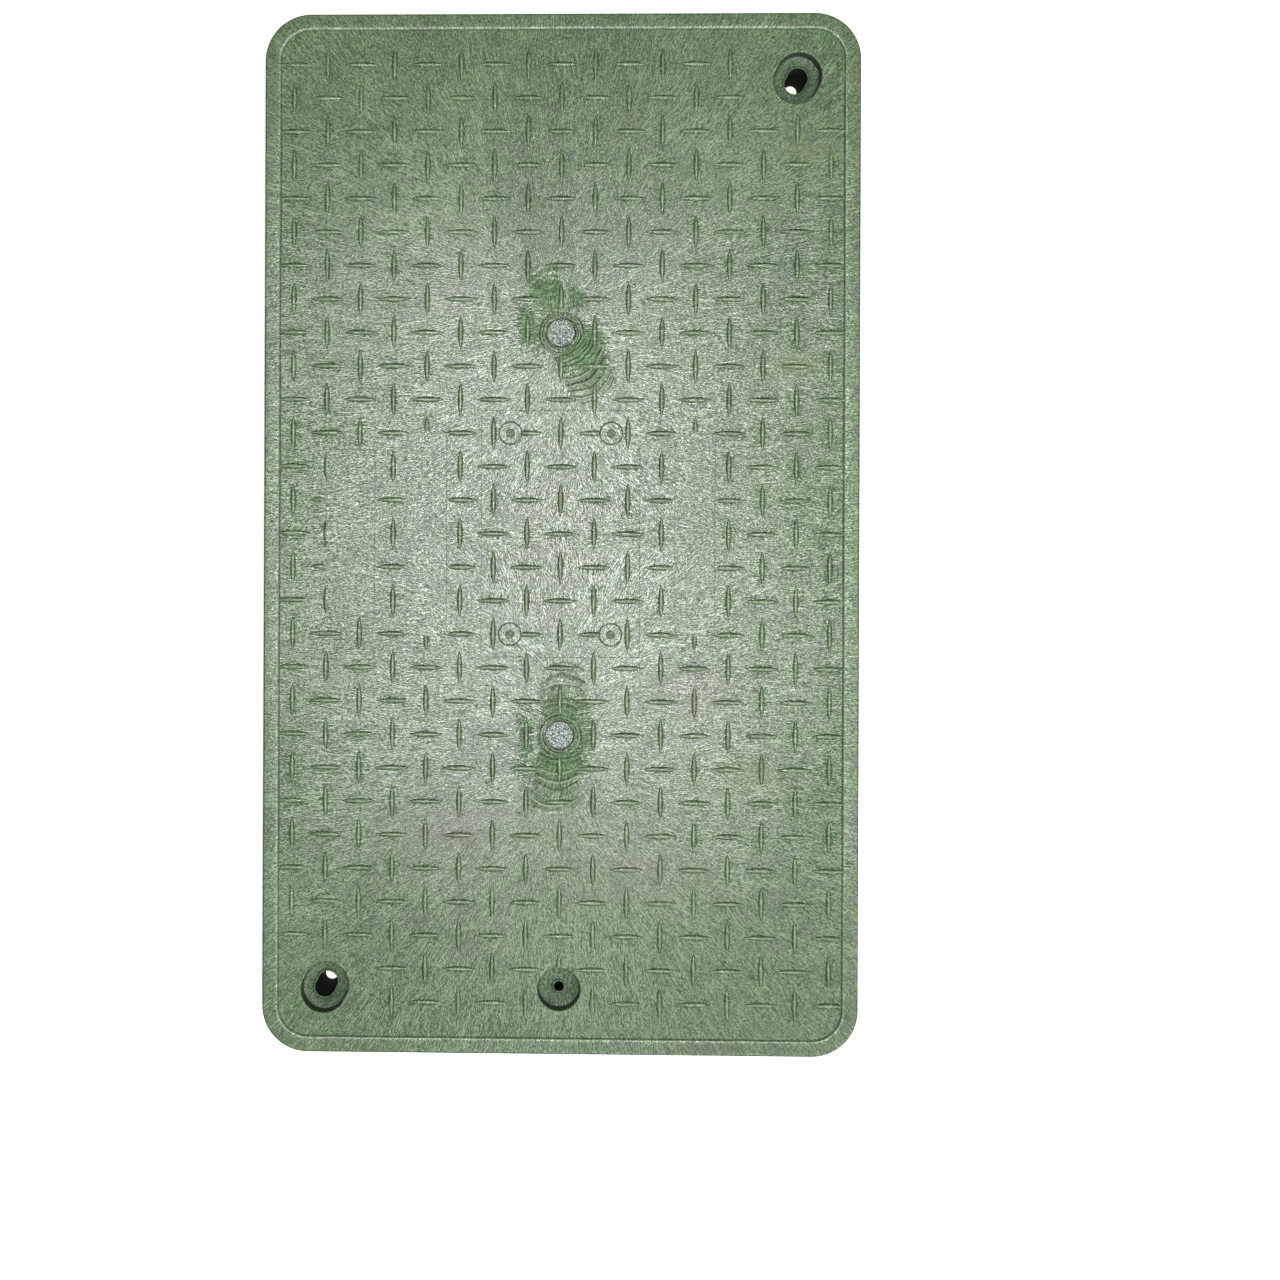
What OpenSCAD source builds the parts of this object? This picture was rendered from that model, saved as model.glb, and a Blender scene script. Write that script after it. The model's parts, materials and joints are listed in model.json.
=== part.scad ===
// Cover of a valve box: one moulded piece of green plastic.
// A plate with a raised tread on top, a deep outer wall and crossed ribs below it.
// It lies top side up on the lower edge of its outer wall. All sizes in millimetres,
// the origin in the middle of that lower edge, the long side along Y.

/* [Cover] */
// Width over the outer wall, the short side
cover_w = 451; // [440:1:470]
// Length over the outer wall, the long side
cover_l = 788; // [776:1:812]
// Depth from the top of the border to the lower edge
cover_h = 50.8; // [44:0.2:64]
// Radius of the four corners seen from above
corner_r = 35; // [30:0.5:44]
// Rounding of the top outer edge
edge_r = 1.8; // [1:0.1:3]
// Thickness of the top plate under the tread
plate_t = 7; // [5:0.5:10]
// Thickness of the outer wall
wall_t = 6.5; // [5:0.5:9]
// Width of the flat border round the tread
border_w = 11.5; // [8:0.5:14]
// Width of the sloping step from the border down to the tread
step_w = 1.1; // [0.6:0.1:2]

/* [Tread] */
// Distance between neighbouring ridges, the same both ways
tread_pitch = 25.4; // [24:0.1:28]
// Visible length of a ridge
ridge_l = 26; // [18:0.5:28]
// Width of a ridge at its foot
ridge_w = 4.6; // [3:0.1:6]
// Width of the flat crest at the middle of a ridge
crest_w = 1.6; // [0.8:0.1:2.4]
// Length of a ridge's pointed end over its half width
tip_slope = 2.7; // [1.5:0.1:3.2]
// Height of a ridge, which is also the height of the border over the tread
ridge_h = 1.5; // [0.8:0.1:2.5]

/* [Bare pads] */
// Width of the wide bare pad on the left
wide_pad_w = 37; // [30:0.5:44]
// Length of the wide bare pad along the cover
wide_pad_l = 127; // [100:1:150]
// Distance of the middle of the wide pad from the middle of the cover
wide_pad_x = 159.5; // [155:0.5:163]
// Width of the two narrow bare pads
narrow_pad_w = 30.4; // [26:0.2:34]
// Length of the two narrow bare pads along the cover
narrow_pad_l = 152.4; // [127:0.2:178]
// Distance of the middle of each narrow pad from the middle of the cover
narrow_pad_x = 101.6; // [96:0.1:105]

/* [Bolt slots] */
// Distance of each bolt slot from the nearer long side
bolt_edge_x = 47.7; // [44:0.1:56]
// Distance of each bolt slot from the nearer short side
bolt_edge_y = 49; // [46:0.5:60]
// Width of a bolt slot
slot_w = 15; // [11:0.5:18]
// Length of a bolt slot, which points at the middle of the cover
slot_l = 20; // [18.5:0.5:26]
// Width of the sunk seat round a bolt slot
seat_w = 34; // [31:0.5:38]
// Depth of the sunk seats below the border
seat_depth = 11; // [7:0.5:15]
// Wall thickness of the cups and tubes round the holes
boss_t = 4.5; // [3:0.5:6]

/* [Pick hole] */
// Distance of the pick hole from the nearer short side
pick_edge_y = 49; // [44:0.5:60]
// Diameter of the sunk seat round the pick hole
pick_seat_d = 32; // [26:0.5:36]
// Diameter of the pick hole
pick_d = 7.3; // [6:0.1:12]
// Diameter of the space kept free of ribs under the pick hole, for the turned end of a hook
hook_space_d = 30; // [24:0.5:36]

/* [Gates and marks] */
// Distance of each gate from the middle of the cover
gate_y = 152.4; // [140:0.2:165]
// Diameter of the ringed dish round a gate
gate_dish_d = 31; // [28:0.5:36]
// Diameter of the rough disc in the middle of a gate
gate_disc_d = 21; // [16:0.5:24]
// Distance of the round insert marks from the long middle line
mark_x = 38.1; // [36:0.1:42]
// Distance of the round insert marks from the short middle line
mark_y = 76.2; // [70:0.1:82]
// Diameter of the round insert marks
mark_d = 18.6; // [14:0.1:20]
// Diameter of the smaller ring inside each insert mark
mark_inner_d = 7; // [5:0.1:10]
// Width of the insert, seen as a fine line in the plate
insert_w = 120; // [110:1:130]
// Length of the insert
insert_l = 187; // [178:1:200]

/* [Ribs] */
// Thickness of the crossed ribs under the plate
rib_t = 4.5; // [3:0.5:6]
// Height of the ribs' lower edge over the lower edge of the outer wall
rib_up = 3; // [1:0.5:8]
// Number of rib spaces from the middle to a bolt slot across the cover
rib_spaces_x = 3; // [3:1:4]
// Number of rib spaces from the middle to a bolt slot along the cover
rib_spaces_y = 5; // [5:1:7]

/* [Hidden] */
half_w = cover_w / 2;
half_l = cover_l / 2;
field_z = cover_h - ridge_h;
plate_z = field_z - plate_t;
field_in = border_w + step_w;
bolt_x = half_w - bolt_edge_x;
bolt_y = half_l - bolt_edge_y;
pick_y = half_l - pick_edge_y;
slot_angle = atan2(bolt_y, bolt_x);
slot_shift = (slot_l - slot_w) / 2;
seat_z = cover_h - seat_depth;
seat_floor_t = 6;
lip_h = 0.7;
lip_w = 1.3;
line_w = 0.5;
line_h = 0.25;
over = 1;
disc_drop = 0.3;
groove_drop = 0.9;
groove_w = 0.4;
ring_drop = 0.4;
dish_drop = 0.6;
dish_slope_w = 0.8;
edge_clear = 10;
cols = floor((half_w - border_w - edge_clear) / tread_pitch);
rows = floor((half_l - border_w - edge_clear) / tread_pitch);
sink = 0.5;
bolt_clear = 32;
omit_in = 3;
$fn = 96;

plastic = [0.36, 0.47, 0.33];

// Outline of the cover pulled in by a distance
module outline(inset) {
    w = cover_w - 2 * inset;
    l = cover_l - 2 * inset;
    r = corner_r - inset;
    union() {
        square([w - 2 * r, l], center = true);
        square([w, l - 2 * r], center = true);
        for (sx = [-1, 1])
            for (sy = [-1, 1])
                translate([sx * (w / 2 - r), sy * (l / 2 - r)])
                    circle(r = r);
    }
}

// Section of the outer wall and border: x runs inward from the outside, y runs up
module rim_section() {
    difference() {
        polygon([[0, 0], [0, cover_h], [border_w, cover_h], [field_in, field_z],
                 [field_in, plate_z], [wall_t, plate_z], [wall_t, 0]]);
        difference() {
            translate([-over, cover_h - edge_r])
                square([edge_r + over, edge_r + over]);
            translate([edge_r, cover_h - edge_r])
                circle(r = edge_r);
        }
    }
}

// One straight length of the rim, from the middle of a side to both corners
module rim_straight(length) {
    rotate([90, 0, 0])
        translate([0, 0, -length / 2])
            linear_extrude(height = length)
                rim_section();
}

// One quarter turn of the rim at a corner
module rim_corner() {
    rotate_extrude(angle = 90)
        translate([corner_r, 0])
            mirror([1, 0])
                rim_section();
}

module rim() {
    for (side = [0, 180])
        rotate([0, 0, side])
            translate([-half_w, 0, 0])
                rim_straight(cover_l - 2 * corner_r);
    for (side = [90, 270])
        rotate([0, 0, side])
            translate([-half_l, 0, 0])
                rim_straight(cover_w - 2 * corner_r);
    translate([half_w - corner_r, half_l - corner_r, 0])
        rim_corner();
    translate([-half_w + corner_r, half_l - corner_r, 0])
        rotate([0, 0, 90])
            rim_corner();
    translate([-half_w + corner_r, -half_l + corner_r, 0])
        rotate([0, 0, 180])
            rim_corner();
    translate([half_w - corner_r, -half_l + corner_r, 0])
        rotate([0, 0, 270])
            rim_corner();
}

module plate() {
    translate([0, 0, plate_z])
        linear_extrude(height = plate_t)
            outline(field_in);
}

// Crossed ribs; one pair of each set runs through the bolt tubes
module ribs() {
    rib_h = plate_z + over - rib_up;
    step_x = bolt_x / rib_spaces_x;
    step_y = bolt_y / rib_spaces_y;
    for (i = [-rib_spaces_x : rib_spaces_x])
        translate([i * step_x - rib_t / 2, -half_l + wall_t / 2, rib_up])
            cube([rib_t, cover_l - wall_t, rib_h]);
    for (j = [-rib_spaces_y : rib_spaces_y])
        translate([-half_w + wall_t / 2, j * step_y - rib_t / 2, rib_up])
            cube([cover_w - wall_t, rib_t, rib_h]);
}

// Long hole shape: two circles joined, along x
module long_hole(width) {
    union() {
        square([2 * slot_shift, width], center = true);
        for (s = [-1, 1])
            translate([s * slot_shift, 0])
                circle(d = width);
    }
}

// A seat shape is the slot shape widened, with the same distance between its circles
module at_bolts() {
    for (turn = [0, 180])
        rotate([0, 0, turn])
            translate([bolt_x, bolt_y, 0])
                rotate([0, 0, slot_angle])
                    children();
}

module bolt_bosses() {
    at_bolts() {
        translate([0, 0, seat_z - seat_floor_t])
            linear_extrude(height = plate_z + over - seat_z + seat_floor_t)
                long_hole(seat_w + 2 * boss_t);
        linear_extrude(height = seat_z)
            long_hole(slot_w + 2 * boss_t);
    }
}

module bolt_cuts() {
    at_bolts() {
        translate([0, 0, seat_z + lip_h])
            linear_extrude(height = seat_depth)
                long_hole(seat_w);
        translate([0, 0, seat_z])
            linear_extrude(height = 2 * lip_h)
                difference() {
                    long_hole(seat_w);
                    long_hole(slot_w + 2 * lip_w);
                }
        translate([0, 0, -over])
            linear_extrude(height = cover_h)
                long_hole(slot_w);
    }
}

module pick_boss() {
    translate([0, -pick_y, seat_z - seat_floor_t])
        cylinder(d = pick_seat_d + 2 * boss_t, h = plate_z + over - seat_z + seat_floor_t);
}

module pick_cuts() {
    translate([0, -pick_y, 0]) {
        translate([0, 0, seat_z + lip_h])
            cylinder(d = pick_seat_d, h = seat_depth);
        translate([0, 0, seat_z])
            difference() {
                cylinder(d = pick_seat_d, h = 2 * lip_h);
                translate([0, 0, -over])
                    cylinder(d = pick_d + 2 * lip_w, h = 2 * lip_h + 2 * over);
            }
        translate([0, 0, -over])
            cylinder(d = pick_d, h = cover_h);
        translate([0, 0, -over])
            cylinder(d = hook_space_d, h = seat_z - seat_floor_t + over);
    }
}

// Dish round a gate: a sloping rim, a ring, a groove and a rough disc in the middle
module gate_cuts() {
    disc_r = gate_disc_d / 2;
    dish_r = gate_dish_d / 2;
    ring_r = (disc_r + dish_r) / 2;
    for (s = [-1, 1])
        translate([0, s * gate_y, field_z])
            rotate_extrude()
                polygon([[0, over], [0, -disc_drop], [disc_r, -disc_drop],
                         [disc_r + groove_w, -groove_drop], [ring_r - groove_w, -groove_drop],
                         [ring_r, -ring_drop], [ring_r + groove_w, -dish_drop],
                         [dish_r - dish_slope_w, -dish_drop], [dish_r, 0], [dish_r, over]]);
}

// A fine raised ring
module ring_line(d) {
    difference() {
        cylinder(d = d, h = line_h + over);
        translate([0, 0, -over])
            cylinder(d = d - 2 * line_w, h = line_h + 3 * over);
    }
}

// Fine raised lines: round marks with a smaller ring inside, and the edge of the insert
module fine_lines() {
    translate([0, 0, field_z - over]) {
        for (sx = [-1, 1])
            for (sy = [-1, 1])
                translate([sx * mark_x, sy * mark_y, 0]) {
                    ring_line(mark_d);
                    ring_line(mark_inner_d);
                }
        linear_extrude(height = line_h + over)
            difference() {
                square([insert_w, insert_l], center = true);
                square([insert_w - 2 * line_w, insert_l - 2 * line_w], center = true);
            }
    }
}

// Corners of a six-sided lens with pointed ends, at one level
function lens(tip, shoulder, half_w, z) = [
    [-tip, 0, z], [-shoulder, -half_w, z], [shoulder, -half_w, z],
    [tip, 0, z], [shoulder, half_w, z], [-shoulder, half_w, z]];

// A ridge lies along x on the plate: pointed ends, sloping sides, flat narrow crest.
// Its foot reaches a little into the plate; every side is a flat face.
module ridge() {
    flank = (ridge_w - crest_w) / 2;
    foot_w = ridge_w / 2 + flank * sink / ridge_h;
    shoulder = (ridge_l - tip_slope * ridge_w) / 2;
    foot_tip = shoulder + tip_slope * foot_w;
    crest_tip = shoulder + tip_slope * crest_w / 2;
    polyhedron(
        points = concat(
            lens(foot_tip, shoulder, foot_w, -sink),
            lens(crest_tip, shoulder, crest_w / 2, ridge_h)),
        faces = concat(
            [[0, 1, 2, 3, 4, 5], [11, 10, 9, 8, 7, 6]],
            [for (i = [0 : 5]) [i, i + 6, (i + 1) % 6 + 6, (i + 1) % 6]])
    );
}

// How deep a point lies inside a rectangle round x0; below zero outside
function in_box(x, y, x0, w, l) = min(w / 2 - abs(x - x0), l / 2 - abs(y));

// How deep a point lies inside any bare pad
function in_pads(x, y) = max(
    in_box(x, y, -wide_pad_x, wide_pad_w, wide_pad_l),
    in_box(x, y, -narrow_pad_x, narrow_pad_w, narrow_pad_l),
    in_box(x, y, narrow_pad_x, narrow_pad_w, narrow_pad_l));

// How deep a point lies inside the round of a gate, a mark or the pick seat
function in_rounds(x, y) = max(
    gate_dish_d / 2 - norm([x, abs(y) - gate_y]),
    mark_d / 2 - norm([abs(x) - mark_x, abs(y) - mark_y]),
    pick_seat_d / 2 - norm([x, y + pick_y]));

// Distance to the nearer bolt slot
function to_bolt(x, y) = min(norm([x - bolt_x, y - bolt_y]), norm([x + bolt_x, y + bolt_y]));

// Solids that keep the ridges off the pads, gates, marks and the pick seat
module bare_zones() {
    z = -2 * sink;
    h = ridge_h + 4 * sink;
    translate([-wide_pad_x - wide_pad_w / 2, -wide_pad_l / 2, z])
        cube([wide_pad_w, wide_pad_l, h]);
    for (s = [-1, 1])
        translate([s * narrow_pad_x - narrow_pad_w / 2, -narrow_pad_l / 2, z])
            cube([narrow_pad_w, narrow_pad_l, h]);
    for (s = [-1, 1])
        translate([0, s * gate_y, z])
            cylinder(d = gate_dish_d, h = h);
    for (sx = [-1, 1])
        for (sy = [-1, 1])
            translate([sx * mark_x, sy * mark_y, z])
                cylinder(d = mark_d, h = h);
    translate([0, -pick_y, z])
        cylinder(d = pick_seat_d, h = h);
}

// The tread: ridges turn by a quarter from one place to the next
module tread() {
    translate([0, 0, field_z])
        for (c = [-cols : cols])
            for (r = [-rows : rows]) {
                x = c * tread_pitch;
                y = r * tread_pitch;
                turn = abs(c + r) % 2 == 0 ? 0 : 90;
                deep = max(in_pads(x, y), in_rounds(x, y));
                if (deep < omit_in && to_bolt(x, y) > bolt_clear) {
                    if (deep > -ridge_l / 2 - over)
                        difference() {
                            translate([x, y, 0])
                                rotate([0, 0, turn])
                                    ridge();
                            bare_zones();
                        }
                    else
                        translate([x, y, 0])
                            rotate([0, 0, turn])
                                ridge();
                }
            }
}

module cover() {
    color(plastic)
        union() {
            difference() {
                union() {
                    rim();
                    plate();
                    ribs();
                    bolt_bosses();
                    pick_boss();
                    fine_lines();
                }
                bolt_cuts();
                pick_cuts();
                gate_cuts();
            }
            tread();
        }
}

cover();
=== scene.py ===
"""Valve box cover, dressed for the camera: a moulded plastic cover seen from straight above.

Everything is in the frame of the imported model: origin in the middle of the lower edge, +Z up out
of the tread, +Y along the long side. The shape functions work in millimetres.
"""

import json
import math
from types import SimpleNamespace

import bpy
import bmesh
import numpy as np
from bpy.props import FloatProperty, FloatVectorProperty, PointerProperty, StringProperty
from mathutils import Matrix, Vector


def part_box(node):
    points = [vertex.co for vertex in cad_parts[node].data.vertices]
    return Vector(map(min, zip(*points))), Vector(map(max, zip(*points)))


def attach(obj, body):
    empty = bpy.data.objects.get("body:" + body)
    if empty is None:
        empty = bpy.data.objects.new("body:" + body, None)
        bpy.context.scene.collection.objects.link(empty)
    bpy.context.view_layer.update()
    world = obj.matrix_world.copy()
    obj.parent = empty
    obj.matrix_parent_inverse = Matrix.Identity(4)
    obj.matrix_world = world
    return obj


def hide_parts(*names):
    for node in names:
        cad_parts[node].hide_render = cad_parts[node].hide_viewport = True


bl_info = {
    "name": "Valve Box Cover",
    "version": (1, 0, 0),
    "blender": (4, 5, 0),
    "location": "3D View > Sidebar > Cover",
    "description": "Builds a moulded valve box cover: border, tread, seats, gates, ribbed underside",
    "category": "Object",
}

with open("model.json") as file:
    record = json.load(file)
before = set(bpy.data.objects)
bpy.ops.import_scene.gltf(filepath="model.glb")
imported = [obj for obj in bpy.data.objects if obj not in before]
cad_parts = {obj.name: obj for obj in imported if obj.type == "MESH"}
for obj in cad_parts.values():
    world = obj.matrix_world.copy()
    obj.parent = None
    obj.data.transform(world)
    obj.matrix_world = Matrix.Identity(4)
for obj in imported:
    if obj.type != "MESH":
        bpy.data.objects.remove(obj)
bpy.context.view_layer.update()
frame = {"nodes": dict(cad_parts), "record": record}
LOW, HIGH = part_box("cover")
MM = 0.001
PLACES = {m["name"]: m["pos_m"] for m in frame["record"]["mounts"]}


def length(name, value_mm, words):
    """A length in metres with its default given in millimetres."""
    return FloatProperty(name=name, description=words, default=value_mm * MM,
                         unit="LENGTH", precision=5)


def number(name, value, words):
    """A plain number without a unit."""
    return FloatProperty(name=name, description=words, default=value)


def paint(name, value, words):
    """A colour kept as an sRGB hex word, such as 5F7A55."""
    return StringProperty(name=name, description=words, default=value)


class CoverSizes(bpy.types.PropertyGroup):
    """Sizes of the plate, the border and the outer wall."""

    corner_r: length("Corner radius", 35, "Radius of the four corners seen from above")
    edge_r: length("Edge rounding", 1.8, "Rounding of the top outer edge")
    wall_t: length("Wall", 6.5, "Thickness of the outer wall")
    plate_t: length("Plate", 7, "Thickness of the top plate under the tread")
    border_w: length("Border", 11.5, "Width of the flat border round the tread")
    step_w: length("Step", 1.1, "Width of the slope from the border down to the tread")


class TreadSizes(bpy.types.PropertyGroup):
    """Sizes of the raised tread and of its bare pads."""

    pitch: length("Pitch", 25.4, "Distance between neighbouring ridges, the same both ways")
    ridge_l: length("Ridge length", 26, "Length of a ridge from point to point")
    ridge_w: length("Ridge width", 4.6, "Width of a ridge at its foot")
    ridge_h: length("Ridge height", 1.5, "Height of a ridge and of the border over the tread")
    wide_pad_w: length("Wide pad width", 37, "Width of the bare pad on the left")
    wide_pad_l: length("Wide pad length", 127, "Length of the bare pad on the left")
    wide_pad_x: length("Wide pad place", 159.5, "Distance of the wide pad from the middle")
    narrow_pad_w: length("Narrow pad width", 30.4, "Width of the two narrow bare pads")
    narrow_pad_l: length("Narrow pad length", 152.4, "Length of the two narrow bare pads")
    narrow_pad_x: length("Narrow pad place", 101.6, "Distance of the narrow pads from the middle")
    bolt_clear: length("Clear round bolts", 32, "No ridge has its middle this near a bolt slot")
    edge_clear: length("Clear edge", 10, "No ridge has its middle this near the border")
    omit_in: length("Left out", 3, "A ridge whose middle is this deep in a bare zone is left out")


class SeatSizes(bpy.types.PropertyGroup):
    """Sizes of the sunk seats of the bolt slots and of the pick hole."""

    slot_w: length("Slot width", 15, "Width of a bolt slot")
    slot_l: length("Slot length", 20, "Length of a bolt slot")
    seat_w: length("Bolt seat", 34, "Width of the sunk seat round a bolt slot")
    seat_depth: length("Seat depth", 11, "Depth of the sunk seats below the border")
    pick_d: length("Pick hole", 7.3, "Diameter of the pick hole")
    pick_seat_d: length("Pick seat", 32, "Diameter of the sunk seat round the pick hole")
    floor_t: length("Seat floor", 6, "Thickness of the floor under a seat")
    edge_r: length("Seat edge", 1.2, "Rounding of the edge where a seat leaves the tread")
    draft: length("Slot draft", 2.4, "How far a bolt slot's wall comes in at its foot")


class GateSizes(bpy.types.PropertyGroup):
    """Sizes of the two moulding gates and of the insert's marks."""

    gate_y: length("Gate place", 152.4, "Distance of each gate from the middle of the cover")
    disc_d: length("Gate disc", 20.6, "Diameter of the rough foamed disc")
    fold_h: length("Fold height", 0.5, "Height of the folds of plastic round a gate")
    dish_r: length("Gate rings", 15.5, "Radius of the rings round a gate")
    patch_r: length("Gate patch", 66, "Radius of the finely shaped patch round a gate")
    mark_x: length("Mark place across", 38.1, "Distance of the round marks from the long middle line")
    mark_y: length("Mark place along", 76.2, "Distance of the round marks from the short middle line")
    mark_d: length("Mark", 18.6, "Diameter of the round insert marks")
    insert_w: length("Insert width", 120, "Width of the insert whose edge shows as a fine line")
    insert_l: length("Insert length", 187, "Length of the insert")


class PlasticLook(bpy.types.PropertyGroup):
    """Colours and grain of the foamed plastic."""

    deep: paint("Deep green", "142A0C", "Darkest lines between the gas streaks")
    green: paint("Green", "29441C", "Usual dark tone of the skin")
    pale: paint("Pale green", "476236", "Usual light tone of the skin, with fine gas streaks")
    silver: paint("Silver", "718366", "Strongest gas streaks")
    dense: paint("Dense green", "284F1C", "Skin with little gas: folds, ridges, round the gates")
    dense_low: paint("Dense dark", "1B3214", "Lines between the streaks of the dense skin")
    dense_high: paint("Dense light", "527C41", "Streaks of the dense skin")
    moss: paint("Moss", "4D5C26", "Yellow green smudges")
    umber: paint("Umber", "4A453A", "Brown grey smudges")
    # The next two colours are painted light: a pale painted highlight on edges that stand up, and
    # painted shade in folds, grooves and corners.
    painted_highlight: paint("Rubbed edge", "93A489", "Pale line on edges that stand up")
    painted_crease_shade: paint("Crevice", "182215", "Dark line in folds, grooves and corners")
    streak_w: length("Streak width", 0.5, "Width of a gas streak across the flow")
    streak_l: length("Streak length", 2.3, "Length of a short gas streak")
    scratch_l: length("Long streak", 15, "Length of a long gas streak")
    lattice: length("Lattice", 22, "Patches this large share one streak direction")
    grain: length("Grain", 0.8, "Size of the speckle over the whole skin")
    mottle: length("Mottle", 16, "Size of the patches with more or less gas")
    cloud: length("Cloud", 95, "Size of the large soft patches with more or less gas")
    relief: length("Relief", 0.05, "Depth that the streaks and speckle have as relief")
    roughness: number("Roughness", 0.4, "Usual roughness of the satin skin")
    refraction: number("Refraction", 1.54, "Refractive index of polyethylene")
    shine: number("Shine", 0.79, "Level of the skin's mirror share")


class StageLook(bpy.types.PropertyGroup):
    """Floor, lamps and camera."""

    floor: paint("Floor", "F4F4F2", "Plain pale floor")
    floor_glow: number("Floor glow", 0.14, "Light of its own that keeps the floor white")
    overhead: number("Overhead lamp", 51, "Watts of the lamp above, whose glare lies on the middle")
    near_side: number("Side lamp", 130, "Watts of the lamp at the near right side")
    room: number("Room light", 0.09, "Strength of the even light from all round")
    camera_height: length("Camera height", 1190, "Height of the camera over the tread")
    field_width: length("Field of view", 968.3, "Width that the picture takes in at the tread")
    shift: FloatVectorProperty(
        name="Shift", description="Framing of the photograph, in picture widths",
        size=2, default=(0.0895, -0.0833))
    tilt: FloatVectorProperty(
        name="Tilt", description="How far the camera leans and turns off the upright",
        size=3, subtype="EULER", default=(0.00035, 0.02225, 0.0038))


def millimetres(group):
    """The group's lengths as plain numbers in millimetres."""
    names = group.__annotations__.keys()
    values = {n: getattr(group, n) for n in names}
    return SimpleNamespace(**{n: v / MM for n, v in values.items() if isinstance(v, float)})


HALF_W = (HIGH.x - LOW.x) / 2 / MM
HALF_L = (HIGH.y - LOW.y) / 2 / MM
TOP = HIGH.z / MM
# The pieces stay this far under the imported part's highest points, in millimetres.
HIDE = 0.02


def smooth(low, high, x):
    """0 below low, 1 above high, and 3t^2 - 2t^3 between them."""
    t = np.clip((x - low) / (high - low), 0, 1)
    return t * t * (3 - 2 * t)


def hex_colour(word):
    """sRGB hex word to linear red, green, blue and alpha."""
    srgb = [int(word[i:i + 2], 16) / 255 for i in (0, 2, 4)]
    return [c / 12.92 if c <= 0.04045 else ((c + 0.055) / 1.055) ** 2.4 for c in srgb] + [1.0]


def grid_quads(lead, rows, cols, wrap_rows=False, wrap_cols=False):
    """Corner numbers of the quads of `lead` separate grids of rows x cols points each."""
    i = np.arange(rows if wrap_rows else rows - 1)[:, None]
    j = np.arange(cols if wrap_cols else cols - 1)[None, :]
    i2 = (i + 1) % rows
    j2 = (j + 1) % cols
    corners = (i * cols + j, i2 * cols + j, i2 * cols + j2, i * cols + j2)
    one = np.stack(np.broadcast_arrays(*corners), -1).reshape(1, -1, 4)
    return (one + np.arange(lead)[:, None, None] * rows * cols).reshape(-1, 4)


def mesh_object(name, points, faces, material, rich=0.0, edge=0.0, sharp=35):
    """rich and edge are one number for each point, or one for all: how much plain green skin
    shows there (2 for skin with faint streaks), and the painted light there: a pale painted
    highlight (1) or dark painted shade (-1).
    """
    rich, edge = (np.broadcast_to(np.asarray(v, np.float32), (len(points),))
                  for v in (rich, edge))
    used, faces_used = np.unique(faces, return_inverse=True)
    mesh = bpy.data.meshes.new(name)
    mesh.from_pydata((points[used] * MM).tolist(), [], faces_used.reshape(faces.shape).tolist())
    smudge = hue(points[used, 0], points[used, 1]) * (rich[used] < 1.5)
    for layer, values in (("rich", rich[used]), ("edge", edge[used]), ("smudge", smudge)):
        data = mesh.attributes.new(layer, "FLOAT", "POINT").data
        data.foreach_set("value", np.ascontiguousarray(values, np.float32))
    mesh.polygons.foreach_set("use_smooth", np.ones(len(mesh.polygons), bool))
    mesh.set_sharp_from_angle(angle=math.radians(sharp))
    mesh.materials.append(material)
    piece = bpy.data.objects.new(name, mesh)
    bpy.context.scene.collection.objects.link(piece)
    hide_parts("cover")
    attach(piece, "root")
    return piece


def distance_to_long_hole(x, y, hole):
    """Distance from a point to the straight line between a long hole's two circle centres."""
    dx, dy = x - hole.x, y - hole.y
    c, s = math.cos(hole.turn), math.sin(hole.turn)
    along = np.abs(dx * c + dy * s) - hole.half_gap
    across = dy * c - dx * s
    return np.hypot(np.maximum(along, 0), across)


def holes(context):
    """The two bolt slots and the pick hole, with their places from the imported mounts."""
    seat = millimetres(context.scene.cover_seats)
    made = []
    for name in ("bolt_slot_a", "bolt_slot_b"):
        x, y = (v / MM for v in PLACES[name][:2])
        made.append(SimpleNamespace(
            name=name, x=x, y=y, turn=math.atan2(y, x), half_gap=(seat.slot_l - seat.slot_w) / 2,
            seat_r=seat.seat_w / 2, hole_r=seat.slot_w / 2, bottom=0.0))
    x, y = (v / MM for v in PLACES["pick_hole"][:2])
    made.append(SimpleNamespace(
        name="pick_seat", x=x, y=y, turn=0.0, half_gap=0.0, seat_r=seat.pick_seat_d / 2,
        hole_r=seat.pick_d / 2, bottom=TOP - seat.seat_depth - seat.floor_t))
    return made


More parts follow.
